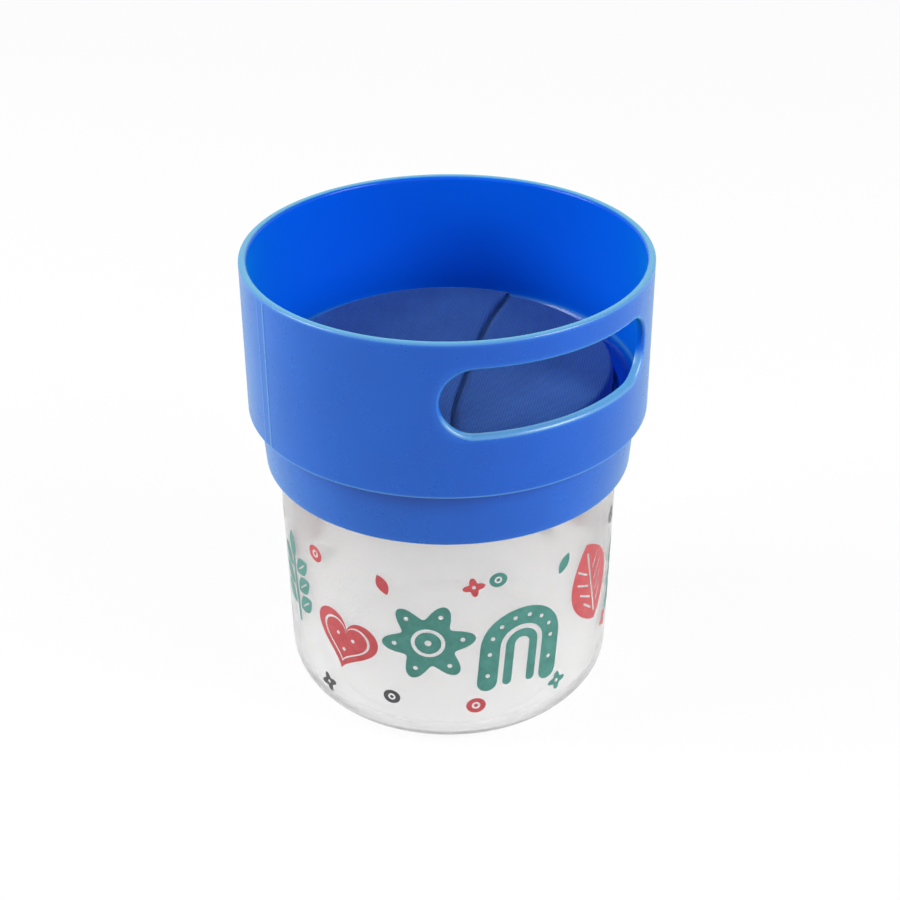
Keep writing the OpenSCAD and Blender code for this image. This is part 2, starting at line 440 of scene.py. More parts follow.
def stretch_fabric():
    """Fine-ribbed navy knit: rows of ribs along one way, small stitches across them, painted
    shade in the hollows between them, a slight mottling and a soft sheen."""
    material, nodes, links, shader = new_material("stretch_fabric")
    place = nodes.new("ShaderNodeTexCoord")
    turned = nodes.new("ShaderNodeMapping")
    set_inputs(turned, Rotation=(0, 0, SEAM_TURN))
    links.new(place.outputs["Object"], turned.inputs["Vector"])

    def ribs(direction, pitch, distortion):
        """Slightly uneven ribs that follow each other in a direction."""
        wave = nodes.new("ShaderNodeTexWave")
        wave.bands_direction = direction
        wave.wave_profile = "SIN"
        set_inputs(wave, Scale=WAVE_PITCH / pitch, Distortion=distortion, Detail=1,
                   Detail_Scale=2)
        links.new(turned.outputs["Vector"], wave.inputs["Vector"])
        return wave.outputs["Fac"]

    rib, stitch = ribs("Y", KNIT_RIB, 1.2), ribs("X", KNIT_STITCH, 1.8)
    relief = maths(nodes, links, "MULTIPLY_ADD", rib, 0.7,
                   map_range(nodes, links, stitch, 0, 1, 0, 0.3))
    mottle = object_noise(nodes, links, 110, detail=4, roughness=0.6)
    yarn = grade(nodes, links, mottle, *NOISE_SPAN, *NAVY)
    # painted shade: darker where the knit's relief is low
    colour = mix_colour(nodes, links, map_range(nodes, links, relief, 0.2, 0.7, 1, 0),
                        yarn, NAVY_PAINTED_HOLLOW_SHADE)
    links.new(colour, shader.inputs["Base Color"])
    links.new(bump(nodes, links, relief, KNIT_H, 0.9), shader.inputs["Normal"])
    set_inputs(shader, Roughness=0.75, Specular_IOR_Level=0.25, Sheen_Weight=0.35,
               Sheen_Roughness=0.4, Sheen_Tint=NAVY_SHEEN)
    return material


def ink(name, thin, thick):
    """Screen-printed ink: slightly uneven, from one colour where it lies thin to another
    where it lies thick, with a low satin gloss."""
    material, nodes, links, shader = new_material(name)
    patches = object_noise(nodes, links, 220, detail=5, roughness=0.65)
    links.new(grade(nodes, links, patches, 0.35, 0.65, thin, thick),
              shader.inputs["Base Color"])
    grain = object_noise(nodes, links, 1500, detail=2)
    links.new(map_range(nodes, links, grain, *NOISE_SPAN, 0.38, 0.5),
              shader.inputs["Roughness"])
    links.new(bump(nodes, links, grain, GRAIN_H, 0.3), shader.inputs["Normal"])
    return material


# ---- collar

def collar_profile():
    """The collar's closed half section as (radius, height, painted light on its edges), and the
    places in it of the outer and the inner wall's patch rows."""
    rows = []

    def add(points, pale=0):
        """Adds points of one painted lightness, or of one that depends on each point's number."""
        rows.extend((r, z, pale(i) if callable(pale) else pale)
                    for i, (r, z) in enumerate(points))

    bead_r = SKIRT_BORE_R - BEAD_H
    under, foot = LEDGE_TOP - LEDGE_T, SKIRT_BOTTOM + EDGE_ROUND
    add([(LEDGE_BORE_R, under + EDGE_ROUND / 2), (LEDGE_BORE_R + EDGE_ROUND / 2, under),
         (SKIRT_BORE_R, under), (SKIRT_BORE_R, CUP_RIM_Z), (bead_r, CUP_RIM_Z),
         (bead_r, CUP_RIM_Z - BEAD_W), (SKIRT_BORE_R, CUP_RIM_Z - BEAD_W - BEAD_H),
         (SKIRT_BORE_R, foot)])
    add(arc(SKIRT_BORE_R + EDGE_ROUND, foot, EDGE_ROUND, 180, 270, 4), SKIRT_PAINTED_LIGHT)
    add(arc(SKIRT_R_BOTTOM - EDGE_ROUND, foot, EDGE_ROUND, -90, 0, 5), SKIRT_PAINTED_LIGHT)
    add([(SKIRT_R_BOTTOM + (SKIRT_R_TOP - SKIRT_R_BOTTOM) * share,
          foot + (RING_BOTTOM - foot) * share) for share in (0.1, 0.5, 0.9, 0.97)])
    add(arc(SKIRT_R_TOP + STEP_FILLET, RING_BOTTOM - STEP_FILLET, STEP_FILLET, 180, 90, 3))
    add(arc(RING_R - STEP_ROUND, RING_BOTTOM + STEP_ROUND, STEP_ROUND, -90, 0, 4), STEP_PAINTED_HIGHLIGHT)
    add([(RING_R, RING_BOTTOM + 0.4 * MM)], STEP_PAINTED_HIGHLIGHT - 0.05)
    add([(RING_R, RING_BOTTOM + 0.7 * MM)])
    outer = len(rows)
    add([(RING_R, z) for z in patch_heights()])
    add([(RING_R, RING_TOP - EDGE_ROUND - 0.9 * MM)])
    add([(RING_R, RING_TOP - EDGE_ROUND - 0.2 * MM)], EDGE_GLOW)
    # painted pale light on the rim's rounded top edges, fading down its inner side
    add(arc(RING_R - EDGE_ROUND, RING_TOP - EDGE_ROUND, EDGE_ROUND, 0, 90, 5),
        lambda i: 0.55 + 0.08 * i)
    add(arc(RING_BORE_R + RIM_ROUND_IN, RING_TOP - RIM_ROUND_IN, RIM_ROUND_IN, 90, 180, 8),
        lambda i: 1 - smooth(i, 1, 4.5))
    inner = len(rows)
    add([(RING_BORE_R, z) for z in reversed(patch_heights())])
    add([(RING_BORE_R, LEDGE_TOP + LEDGE_FILLET + 1 * MM)])
    # painted highlight band along the fillet at the foot of the inner wall
    add(arc(RING_BORE_R - LEDGE_FILLET, LEDGE_TOP + LEDGE_FILLET, LEDGE_FILLET, 0, -90, 14),
        lambda i: FILLET_PAINTED_HIGHLIGHT * math.exp(-((i - 4.3) / 1.7) ** 2))
    add(arc(LEDGE_BORE_R + EDGE_ROUND, LEDGE_TOP - EDGE_ROUND, EDGE_ROUND, 90, 180, 4))
    return rows, outer, inner


def patch_heights():
    """Heights of the rows of the patch round the slot."""
    bottom = SLOT_Z - PATCH_ROW * PATCH_ROWS / 2
    return [bottom + PATCH_ROW * i for i in range(PATCH_ROWS + 1)]


def collar_columns():
    """Azimuths of the collar's columns, the patch's first, and how far each stands on a
    parting line, from 0 to 1."""
    first = SLOT_AZIMUTH - COLUMN_STEP * PATCH_COLUMNS / 2
    count = round(2 * math.pi / COLUMN_STEP)
    azimuths = [first + COLUMN_STEP * i for i in range(count)]
    lines = [(PARTING_AZIMUTH + turn + side, strength)
             for turn, strength in PARTING_LINES for side in (math.pi, 2 * math.pi)]
    half, flank = PARTING_W / 2 / RING_R, PARTING_FLANK / RING_R
    # Columns too near a parting line give way to its own six
    kept = [(a, 0) for a in azimuths if all(abs(a - line) > 2.8 * half for line, _ in lines)]
    for line, strength in lines:
        kept += [(line + side * (half + flank * k), strength * (1 - k))
                 for side in (-1, 1) for k in (0, 1)]
        kept += [(line + side * half * 2.4, 0) for side in (-1, 1)]
    return sorted(kept)


def slot_place(x, z):
    """Where the patch's edge point (x, z), measured from the slot's middle, is joined to the
    slot's outline: how far along the straight part, and the turn round the end after it."""
    half_w, half_h = COLUMN_STEP * PATCH_COLUMNS / 2 * RING_R, PATCH_ROW * PATCH_ROWS / 2
    straight = (SLOT_L - SLOT_H) / 2
    along = abs(x) if abs(abs(z) - half_h) < 1e-7 else half_w + half_h - abs(z)
    along *= (straight + SLOT_H * math.pi / 4) / (half_w + half_h)
    return min(along, straight), max(0, along - straight) / (SLOT_H / 2)


def slot_outline(x, z, outset, radius):
    """Azimuth and height of the slot's outline, grown by outset, on a wall of that radius."""
    centre, turn = slot_place(x, z)
    reach = SLOT_H / 2 + outset
    azimuth = centre / RING_R + math.asin(reach * math.sin(turn) / radius)
    return (SLOT_AZIMUTH + math.copysign(azimuth, x),
            SLOT_Z + math.copysign(reach * math.cos(turn), z))


def slot_section():
    """The slot's edge from the outer wall to the inner one, as (outset, radius, painted light
    where it faces up, painted light all round)."""
    rows = []
    for i in range(SLOT_STEPS_OUT + 1):
        turn = math.pi / 2 * i / SLOT_STEPS_OUT
        rows.append((SLOT_EDGE_OUT * (1 - math.sin(turn)),
                     RING_R - SLOT_EDGE_OUT * (1 - math.cos(turn)),
                     min(0.85, 0.4 + i * 0.3), max(0, 0.48 - 0.14 * abs(i - 2))))
    for i in range(SLOT_STEPS_IN + 1):
        turn = math.pi / 2 * i / SLOT_STEPS_IN
        rows.append((SLOT_EDGE_IN * (1 - math.cos(turn)),
                     RING_BORE_R + SLOT_EDGE_IN * (1 - math.sin(turn)), 0.9 - i * 0.12, 0))
    return rows


def upward_shares(places):
    """For each edge point of the patch, from 0 to 1 how far the slot's edge there faces up, and
    so how much painted light it gets.
    """
    return [smooth(-math.copysign(math.cos(slot_place(x, z)[1]), z), 0.1, 0.6) for x, z in places]


def helical_rib(z0, start, points, faces):
    """Adds one of the skirt's thread ribs, its low end at height z0 and angle start, to the
    points and faces."""
    steps = round(COLLAR_RIB_SPAN / RIB_STEP)
    base = len(points)
    for i in range(steps + 1):
        angle = COLLAR_RIB_SPAN * i / steps
        rise = RIB_H * min(1, (angle + RIB_START) / RIB_FADE,
                           (COLLAR_RIB_SPAN - angle + RIB_START) / RIB_FADE)
        z = z0 + LEAD * angle / (2 * math.pi)
        section = ((-RIB_BURY, -0.5), (0, -0.42), (rise, -0.25),
                   (rise, 0.25), (0, 0.42), (-RIB_BURY, 0.5))
        for stand, across in section:
            r = SKIRT_BORE_R - stand
            points.append((r * math.cos(start + angle), r * math.sin(start + angle),
                           z + RIB_W * across))
    faces += tube_faces(steps, len(section), base) + end_faces(steps, len(section), base)


def make_collar(material):
    """The collar as one finer moulding, with rounded slot edges and parting lines."""
    rows, outer, inner = collar_profile()
    columns = collar_columns()
    n = len(columns)
    wall_rows = range(outer - 1, outer + PATCH_ROWS + 2)
    points, painted_edge_light, faces = [], [], []
    for i, (r, z, pale) in enumerate(rows):
        for azimuth, on_band in columns:
            raised = PARTING_H * on_band if i in wall_rows else 0
            points.append(on_round(r + raised, azimuth, z))
            # the parting lines get a painted highlight
            painted_edge_light.append(max(pale, PARTING_PAINTED_HIGHLIGHT * on_band) if i in wall_rows else pale)
    for i in range(len(rows)):
        below = (i + 1) % len(rows)
        in_patch_row = outer <= i < outer + PATCH_ROWS or inner <= i < inner + PATCH_ROWS
        for c in range(n):
            if not (in_patch_row and c < PATCH_COLUMNS):
                d = (c + 1) % n
                faces.append((i * n + c, i * n + d, below * n + d, below * n + c))

    def add_loop(loop, pale):
        """Adds points with their painted light, and returns their numbers."""
        start = len(points)
        points.extend(loop)
        painted_edge_light.extend(pale)
        return list(range(start, start + len(loop)))

    def join(a, b):
        """Joins two loops by a band of faces."""
        for k in range(len(a)):
            m = (k + 1) % len(a)
            faces.append((a[k], a[m], b[m], b[k]))

    def patch(first_row, upwards, radius, outset, glow, upward_glow):
        """Fills a wall between the grid and the slot, and returns the loop at the slot and
        the places of the patch's edge points."""
        def at(row, column):
            """The number of the grid point at a row, counted upwards, and a column."""
            return (first_row + (row if upwards else PATCH_ROWS - row)) * n + column
        edge = [(0, c) for c in range(PATCH_COLUMNS)]
        edge += [(r, PATCH_COLUMNS) for r in range(PATCH_ROWS)]
        edge += [(PATCH_ROWS, c) for c in range(PATCH_COLUMNS, 0, -1)]
        edge += [(r, 0) for r in range(PATCH_ROWS, 0, -1)]
        places = [((c - PATCH_COLUMNS / 2) * COLUMN_STEP * RING_R,
                   (r - PATCH_ROWS / 2) * PATCH_ROW) for r, c in edge]
        outline = [slot_outline(x, z, outset, radius) for x, z in places]
        loop = [at(r, c) for r, c in edge]
        for ring in range(PATCH_RINGS - 1, -1, -1):
            share = (ring / PATCH_RINGS) ** PATCH_CROWDING
            blended = []
            for (x, z), (azimuth, height) in zip(places, outline):
                a = azimuth + (SLOT_AZIMUTH + x / RING_R - azimuth) * share
                blended.append(on_round(radius, a, height + (SLOT_Z + z - height) * share))
            near = max(0, 1 - 4 * share)  # 1 at the slot and 0 a few rings off
            # painted glow on the wall beside the slot, stronger where the slot's edge faces up
            pale = [near * max(glow, upward_glow * up) for up in upward_shares(places)]
            inner_loop = add_loop(blended, pale)
            join(loop, inner_loop)
            loop = inner_loop
        return loop, places

    loop, places = patch(outer, True, RING_R, SLOT_EDGE_OUT, EDGE_GLOW * 0.7, EDGE_GLOW)
    inner_end, _ = patch(inner, False, RING_BORE_R, SLOT_EDGE_IN, 0, 0)
    # the slot's rounded edge gets painted pale light, most where it faces up
    for outset, radius, upward_painted_light, round_painted_light in slot_section()[1:-1]:
        section = [on_round(radius, *slot_outline(x, z, outset, radius)) for x, z in places]
        next_loop = add_loop(section, [max(round_painted_light, upward_painted_light * up)
                                       for up in upward_shares(places)])
        join(loop, next_loop)
        loop = next_loop
    join(loop, inner_end)

    start = (CUP_RIB_SPAN - COLLAR_RIB_SPAN) / 2
    rib_z = CUP_RIB_Z + LEAD * start / (2 * math.pi) - RIB_W * 0.75
    for i in range(STARTS):
        helical_rib(rib_z, start + 2 * math.pi * i / STARTS, points, faces)
    painted_edge_light += [0] * (len(points) - len(painted_edge_light))
    collar = add_piece("guard_collar", points, faces, material)
    # the edge attribute carries the painted light and highlights on the collar
    point_attribute(collar, "edge", painted_edge_light)
    depth = [(RING_R - math.hypot(x, y)) / RING_WALL if z > LEDGE_TOP - 1 * MM else 0
             for x, y, z in points]
    point_attribute(collar, "inside", [smooth(d, 0.3, 0.95) for d in depth])
    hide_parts("collar")
    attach(collar, "collar")


# ---- cup

def cup_side(z):
    """Outer radius of the cup's side at a height."""
    return CUP_R + z * math.tan(CUP_DRAFT)


def thread_rise(angle, z):
    """How far the cup's thread ribs stand out at an angle from +X and a height."""
    highest = 0
    for start in range(STARTS):
        along = (angle - 2 * math.pi * start / STARTS) % (2 * math.pi)
        if along > 1.9 * math.pi:  # just before the rib's low end
            along -= 2 * math.pi
        rise = min(1, (along + RIB_START) / RIB_FADE,
                   (CUP_RIB_SPAN - along + RIB_START) / RIB_FADE)
        off = abs(z - CUP_RIB_Z - LEAD * along / (2 * math.pi))
        flank = min(1, (RIB_W / 2 - off) / (RIB_W / 4))
        highest = max(highest, RIB_H * max(0, rise) * max(0, flank))
    return highest


def rounding_r(r, rounding):
    """Centre radius of a rounding between a flat bottom and a drafted side."""
    return r - rounding * (1 - math.sin(CUP_DRAFT)) / math.cos(CUP_DRAFT)


def make_cup(material):
    """The cup as one finer moulding, with its thread ribs raised from the wall itself."""
    draft = math.degrees(CUP_DRAFT)
    foot_r = rounding_r(CUP_R, BASE_ROUND)
    inner_z, inner_round = FOOT_DEPTH + FLOOR_T, BASE_ROUND - CUP_WALL
    inner_r = rounding_r(cup_side(inner_z) - CUP_WALL, inner_round)
    top_r = cup_side(CUP_RIM_Z)
    rows = [(foot_r * k / 5, FOOT_DEPTH) for k in range(1, 5)]
    rows += arc(foot_r - FOOT_W - FOOT_FILLET, FOOT_DEPTH - FOOT_FILLET, FOOT_FILLET, 90, 0, 3)
    rows += arc(foot_r - FOOT_W + FOOT_ROUND, FOOT_ROUND, FOOT_ROUND, 180, 270, 2)
    rows += arc(foot_r, BASE_ROUND, BASE_ROUND, -90, -draft, 20)
    rows += [(cup_side(z), z) for z in SIDE_ROWS]
    threaded = range(len(rows), len(rows) + len(NECK_ROWS))
    rows += [(cup_side(z), z) for z in NECK_ROWS]
    rows += arc(top_r - EDGE_ROUND, CUP_RIM_Z - EDGE_ROUND, EDGE_ROUND, 0, 90, 4)
    rows += arc(top_r - CUP_WALL + EDGE_ROUND, CUP_RIM_Z - EDGE_ROUND, EDGE_ROUND, 90, 180, 4)
    rows += [(cup_side(z) - CUP_WALL, z) for z in BORE_ROWS]
    rows += arc(inner_r, inner_z + inner_round, inner_round, -draft, -90, 18)
    rows += [(inner_r * k / 5, inner_z) for k in range(4, 0, -1)]

    points, n = [], CUP_COLUMNS
    for i, (r, z) in enumerate(rows):
        for c in range(n):
            azimuth = 2 * math.pi * c / n
            out = thread_rise(azimuth - math.pi / 2, z) if i in threaded else 0
            points.append(on_round(r + out, azimuth, z))
    faces = tube_faces(len(rows) - 1, n)
    for row, z in ((0, FOOT_DEPTH), (len(rows) - 1, inner_z)):
        points.append((0, 0, z))
        faces += [(row * n + c, row * n + (c + 1) % n, len(points) - 1) for c in range(n)]
    cup = add_piece("frosted_cup", points, faces, material)
    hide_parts("cup")
    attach(cup, "cup")


# ---- fabric lid

def seam_x(y):
    """How far a free edge reaches past the middle line at y, in the seam's own axes."""
    return SEAM_REACH + SEAM_FLARE * (y / SEAM_END) ** 4


def sagging(top, r):
    """Height at radius r of a flap's top, whose middle sags a little."""
    return top - SAG * (1 - (r / FLAP_TOP_R) ** 2)


def off_rim(r):
    """1 over most of a flap and 0 at its round edge."""
    return 1 - smooth(r, RELIEF_END, FLAP_TOP_R)


def upper_height(x, y):
    """Top of the upper flap: a slight sag, lower where no other flap lies under it, and
    turned down a little at its free edge. x runs away from its free edge."""
    r = math.hypot(x, y)
    settle = SETTLE_H * smooth(x - seam_x(y), 0, SETTLE_W)
    to_edge = 1 - min(1, max(0, x + seam_x(y)) / ROLL_W)
    roll = ROLL_H * (1 - math.sqrt(1 - to_edge ** 2))
    return sagging(UPPER_TOP, r) - (settle + roll) * off_rim(r)


def lower_height(x, y):
    """Top of the lower flap: a slight sag, pressed down in a groove along the upper flap's
    edge, and risen a little beside it."""
    r = math.hypot(x, y)
    off = x - seam_x(y)
    groove = GROOVE_H * math.exp(-(off / GROOVE_W) ** 2)
    ridge = RIDGE_H * math.exp(-((off - RIDGE_OFF) / GROOVE_W) ** 2)
    return sagging(LOWER_TOP, r) - (groove - ridge) * off_rim(r)


def stretch_share(x, y):
    """A share from 0 on the hoop to 1 at the middle of the free edge."""
    if abs(y) >= HOOP_BORE_R:
        return 0
    bore = math.sqrt(HOOP_BORE_R ** 2 - y * y)
    across = min(1, max(0, (bore - x) / (bore + seam_x(y))))
    return across * (1 - (y / HOOP_BORE_R) ** 2)


def flap_rim(top, share):
    """Section of the turned-down rim as (radius, height), from the end of the flat top over
    the shoulder, down the wall and back up inside it. Where share is 0 there is no wall."""
    outer = arc(FLAP_TOP_R, top - FLAP_ROUND, FLAP_ROUND, 90, 0, 7)[1:]
    outer += [(FLAP_R, z) for z in (*RIM_ROWS, FLAP_FOOT)]
    inner = [(FLAP_R - FABRIC_T, FLAP_FOOT), (FLAP_R - FABRIC_T, RIM_ROWS[0])]
    inner += arc(FLAP_TOP_R, top - FLAP_ROUND, FLAP_ROUND - FABRIC_T, 0, 90, 5)[:-1]
    flat = 0.2 * MM
    bare = [(FLAP_TOP_R + flat * (i + 1) / len(outer), top) for i in range(len(outer))]
    bare += [(FLAP_TOP_R + flat * (1 - i / len(inner)), top - FABRIC_T)
             for i in range(len(inner))]
    return [(a * share + c * (1 - share), b * share + d * (1 - share))
            for (a, b), (c, d) in zip(outer + inner, bare)]


def make_flap(name, node, side, height, material):
    """One flap of cloth: a D with a rolled free edge, stretched over the hoop and turned
    down round it. side is 1 for the right flap and -1 for the left one."""
    corner_y = FLAP_TOP_R  # where the free edge meets the round one, closer each time
    for _ in range(6):
        corner_y = math.sqrt(FLAP_TOP_R ** 2 - seam_x(corner_y) ** 2)
    half_turn = math.pi / 2 + math.asin(seam_x(corner_y) / FLAP_TOP_R)
    cos_t, sin_t = math.cos(SEAM_TURN), math.sin(SEAM_TURN)
    nose_r = FABRIC_T / 2
    points, weights = [], []
    for k in range(FLAP_SECTIONS + 1):
        share = k / FLAP_SECTIONS
        theta = half_turn * (2 * share - 1)
        ax, ay = FLAP_TOP_R * math.cos(theta), FLAP_TOP_R * math.sin(theta)
        ey = corner_y * math.sin(math.pi * (share - 0.5))
        ex = -seam_x(ey)
        length = max(1e-6, math.hypot(ax - ex, ay - ey))
        nose = nose_r * min(1, length / NOSE_FADE)

        def across(offset):
            """The point that far from the free edge."""
            part = offset / length
            return ex + (ax - ex) * part, ey + (ay - ey) * part

        section = []
        for i in range(NOSE_STEPS + 1):
            turn = math.pi * (i / NOSE_STEPS - 0.5)
            x, y = across(nose * (1 - math.cos(turn)))
            section.append((x, y, height(x, y) - nose_r + nose_r * math.sin(turn)))
        top_offsets = [nose + (length - nose) * (i / FLAP_STEPS) ** FLAP_CROWDING
                       for i in range(1, FLAP_STEPS + 1)]
        for offset in top_offsets:
            x, y = across(offset)
            section.append((x, y, height(x, y)))
        rim_share = smooth(ax - seam_x(ay), *RIM_FADE) if side > 0 else 1
        for r, z in flap_rim(height(ax, ay), rim_share):
            section.append((r * math.cos(theta), r * math.sin(theta), z))
        for offset in reversed(top_offsets):
            x, y = across(offset)
            section.append((x, y, height(x, y) - FABRIC_T))
        for x, y, z in section:
            weights.append(stretch_share(x, y))
            points.append((side * x * cos_t + y * sin_t, -side * x * sin_t + y * cos_t, z))
    n = len(section)
    faces = tube_faces(FLAP_SECTIONS, n) + end_faces(FLAP_SECTIONS, n)
    flap = add_piece(name, points, faces, material)
    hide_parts(node)
    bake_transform(flap)


# ---- print on the cup

def ellipse(cx, cy, rx, ry=None, n=28):
    """A closed round or oval outline."""
    ry = rx if ry is None else ry
    return [(cx + rx * math.cos(2 * math.pi * i / n), cy + ry * math.sin(2 * math.pi * i / n))
            for i in range(n)]


def dot(x, y):
    """One of the small dots that decorate a motif."""
    return ellipse(x, y, DOT_R, n=10)


def rosette(radius, swing, lobes, n):
    """A closed outline of rounded lobes."""
    outline = []
    for i in range(n):
        a = 2 * math.pi * i / n
        r = radius + swing * math.cos(lobes * a)
        outline.append((r * math.cos(a), r * math.sin(a)))
    return outline


def placed(outline, cx=0, cy=0, turn=0, size=1.0):
    """An outline turned by degrees, scaled and moved."""
    c, s = math.cos(math.radians(turn)) * size, math.sin(math.radians(turn)) * size
    return [(cx + x * c - y * s, cy + x * s + y * c) for x, y in outline]


def stroke(path, width):
    """The closed outline of a line of that width with round ends."""
    path = np.array(path, float)
    along = np.gradient(path, axis=0)
    along /= np.linalg.norm(along, axis=1)[:, None]
    normal = np.stack([-along[:, 1], along[:, 0]], 1) * width / 2
    outline = [tuple(p) for p in path + normal]
    for end, start in ((-1, normal[-1]), (0, -normal[0])):
        base = math.atan2(start[1], start[0])
        outline += [(path[end][0] + width / 2 * math.cos(base - math.pi * i / CAP_STEPS),
                     path[end][1] + width / 2 * math.sin(base - math.pi * i / CAP_STEPS))
                    for i in range(1, CAP_STEPS)]
        if end == -1:
            outline += [tuple(p) for p in (path - normal)[::-1]]
    return outline


def line(x0, y0, x1, y1, n=6):
    """Points on a straight line."""
    return [(x0 + (x1 - x0) * i / n, y0 + (y1 - y0) * i / n) for i in range(n + 1)]


def leaf_shape(length, width, n=18):
    """A pointed leaf that grows upwards from the origin."""
    right = [(width / 2 * math.sin(math.pi * i / n) ** 0.8, length * i / n)
             for i in range(n + 1)]
    return right + [(-x, y) for x, y in right[-2:0:-1]]


# The motifs: each is a list of outlines round its middle, filled by the even-odd rule

def leaf():
    veins = [stroke(line(side * 1.5, y, side * (5.6 - abs(y + 1) * 0.22), y + 3.4), 0.6)
             for y in (-8, -4, 0, 4) for side in (-1, 1)]
    return [placed(leaf_shape(27, 17), 0, -13.5), stroke(line(0, -10.5, 0, 10), 0.75)] + veins


def flower():
    dots = [ellipse(8.9 * math.cos(math.pi * i / 3), 8.9 * math.sin(math.pi * i / 3), 0.65, n=10)
            for i in range(6)]
    return [rosette(9.8, 2.5, 6, 90), ellipse(0, 0, 4.4), ellipse(0, 0, 3.4),
            ellipse(0, 0, 0.9, n=12)] + dots


def drop():
    body = [(0, 14)] + [(8.6 * math.cos(math.radians(a)), -4.4 + 8.6 * math.sin(math.radians(a)))
                        for a in range(24, -205, -8)]
    dots = [dot(x, y) for x, y in placed(body, 0, -1.6, size=0.69)[::3]]
    return [body, placed(body, 0, -2.6, size=0.40), placed(body, 0, -2.9, size=0.22)] + dots


def heart():
    outline = []
    for i in range(60):
        t = 2 * math.pi * i / 60
        outline.append((0.66 * 16 * math.sin(t) ** 3,
                        0.66 * (13 * math.cos(t) - 5 * math.cos(2 * t) - 2 * math.cos(3 * t)
                                - math.cos(4 * t)) + 1.5))
    return [outline, placed(outline, 0, 0.3, size=0.76), placed(outline, 0, 0.35, size=0.69),
            dot(-2.6, 2.4), dot(2.6, 2.4), dot(0, -2.2)]


def arch_path(radius, leg):
    """The middle line of an arch, from the foot of one leg to that of the other."""
    return (line(-radius, -leg, -radius, 0, 5)[:-1]
            + [(-radius * math.cos(math.pi * i / 20), radius * math.sin(math.pi * i / 20))
               for i in range(21)]
            + line(radius, 0, radius, -leg, 5)[1:])


def arch():
    outer = arch_path(8.4, 11)
    dots = [dot(x, y) for x, y in outer[1:-1:3]]
    return [stroke(outer, 5.2), stroke(arch_path(3.2, 11), 2.4)] + dots


def sun():
    rays = [stroke([(r * math.cos(a), r * math.sin(a)) for r in (8.9, 10.2, 11.6)], 2.4)
            for a in (2 * math.pi * i / 12 for i in range(12))]
    return [ellipse(0, 0, 6.9), ellipse(0, 0, 5.0), ellipse(0, 0, 4.4),
            ellipse(0, 0, 1.3, n=14)] + rays


def waves():
    shapes = []
    for row, y in enumerate((-7.6, 0, 7.6)):
        path = [(x, y + 1.9 * math.sin(2 * math.pi * x / 9.6))
                for x in (-10.5 + 21 * i / 36 for i in range(37))]
        shapes.append(stroke(path, 4.6))
        if row == 1:
            shapes.append(stroke(path[2:-2], 0.6))
        else:
            shapes += [dot(px, py) for px, py in path[2:-1:4]]
    return shapes


def sprig():
    shapes = [stroke(line(0, -14, 0, 5.4), 1.7), placed(leaf_shape(9, 5), 0, 6.3)]
    for y in (-9.5, -3.3, 2.9):
        for side in (-1, 1):
            shapes.append(placed(leaf_shape(9.2, 5.2), side * 1.7, y, -side * 55))
            shapes.append(placed(stroke(line(0, 2.2, 0, 6.8), 0.5), side * 1.7, y, -side * 55))
    return shapes


def pebble():
    return [ellipse(0, 0, 2.7, 2.5), ellipse(0, 0, 1.2, n=12), ellipse(0, 0, 0.6, n=8)]


def clover():
    return [rosette(2.3, 0.75, 4, 40), ellipse(0, 0, 0.55, n=10)]


def seed():
    return [placed(leaf_shape(6.4, 3.4, 12), 0, -3.2)]


# Kind, ink, azimuth in degrees, height of the middle in mm, turn in degrees, size
PRINT = [
    (sprig, "teal", -66, 40, 6, 0.96), (heart, "coral", -38, 30, -10, 0.98),
    (flower, "teal", -7, 37, 8, 1.05), (arch, "teal", 25, 34, -4, 1.08),
    (leaf, "coral", 57, 42, 14, 1.08), (waves, "teal", 90, 33, -6, 1.0),
    (drop, "coral", 122, 42, 8, 1.0), (sun, "teal", 155, 34, 0, 1.0),
    (leaf, "coral", 187, 42, -12, 1.05), (heart, "teal", 219, 34, 8, 1.0),
    (arch, "coral", 252, 40, 3, 1.0), (waves, "teal", 270, 16, 4, 0.55),
    (pebble, "coral", -50, 55, 0, 1), (clover, "grey", -47, 13, 20, 1),
    (clover, "coral", 8, 55, 10, 1), (pebble, "teal", 16, 56.5, 0, 0.9),
    (seed, "coral", -22, 54, 25, 1), (pebble, "grey", -20, 17, 0, 0.9),
    (seed, "teal", 41, 55, -30, 1), (clover, "teal", 40, 16, 0, 1),
    (pebble, "coral", 9, 15.5, 0, 1), (clover, "coral", 72, 22, 15, 1),
    (pebble, "grey", 74, 56, 0, 1), (seed, "teal", 106, 17, 40, 1),
    (clover, "grey", 105, 55, 0, 1), (pebble, "teal", 138, 21, 0, 1),
    (seed, "coral", 140, 56, -20, 1), (clover, "coral", 171, 55, 5, 1),
    (pebble, "coral", 171, 18, 0, 1), (seed, "grey", 203, 18, 30, 1),
    (pebble, "teal", 203, 57, 0, 1), (clover, "teal", 236, 18, 0, 1),
    (seed, "grey", 236, 55, -15, 1), (pebble, "coral", 277, 54, 0, 1),
]


def inside(points, loops):
    """Which of the points lie inside an odd number of the loops."""
    result = np.zeros(len(points), bool)
    x, y = points[:, 0], points[:, 1]
    for loop in loops:
        a = np.array(loop)
        b = np.roll(a, -1, axis=0)
        for (ax, ay), (bx, by) in zip(a, b):
            if ay != by:
                crosses = (ay > y) != (by > y)
                result ^= crosses & (x < ax + (y - ay) / (by - ay) * (bx - ax))
    return result


